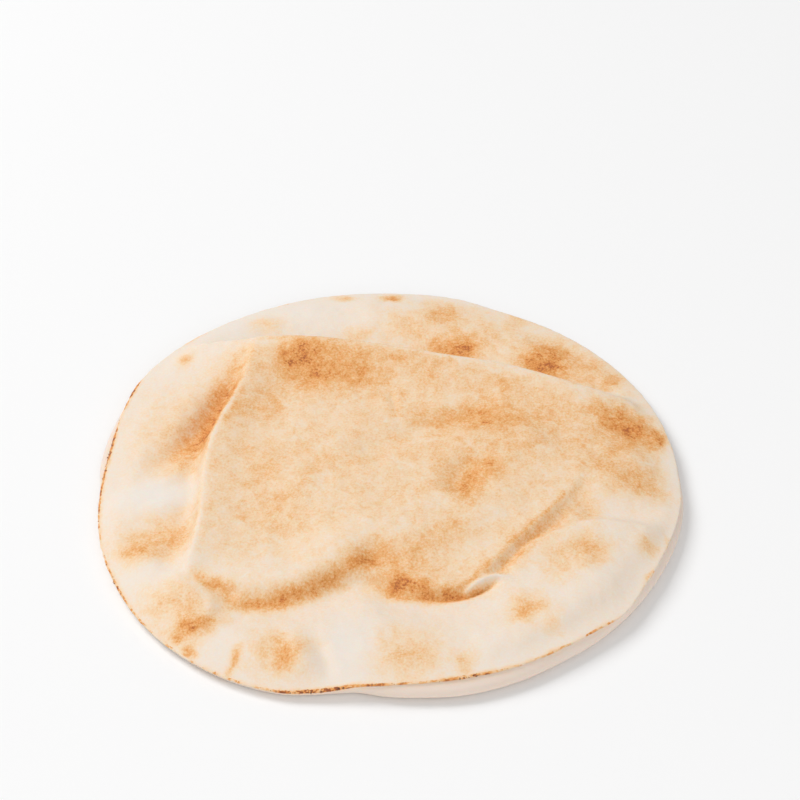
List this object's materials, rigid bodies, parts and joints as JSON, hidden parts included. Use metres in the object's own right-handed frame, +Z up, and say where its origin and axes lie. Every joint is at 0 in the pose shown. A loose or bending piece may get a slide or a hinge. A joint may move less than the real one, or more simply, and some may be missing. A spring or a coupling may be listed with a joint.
{
  "type": "pocket flatbread",
  "caption": "Large thin round pocket flatbread: two baked layers joined at a scorched seam, the slack upper one settled into soft folds.",
  "frame": {"origin": "centre of the bounding box in plan, on the plane of the flat bottom", "axes": "+Z up through the bread's thickness, -Y towards the front of the bread, +X to the right"},
  "size_m": [0.2464, 0.2468, 0.0211],
  "materials": {
    "baked_crust": "dry, matte, floury crust, cream-white with blotches toasted tan to brown and a thin scorched seam"
  },
  "bodies": {
    "root": {"flatbread": "baked_crust"}
  },
  "joints": []
}
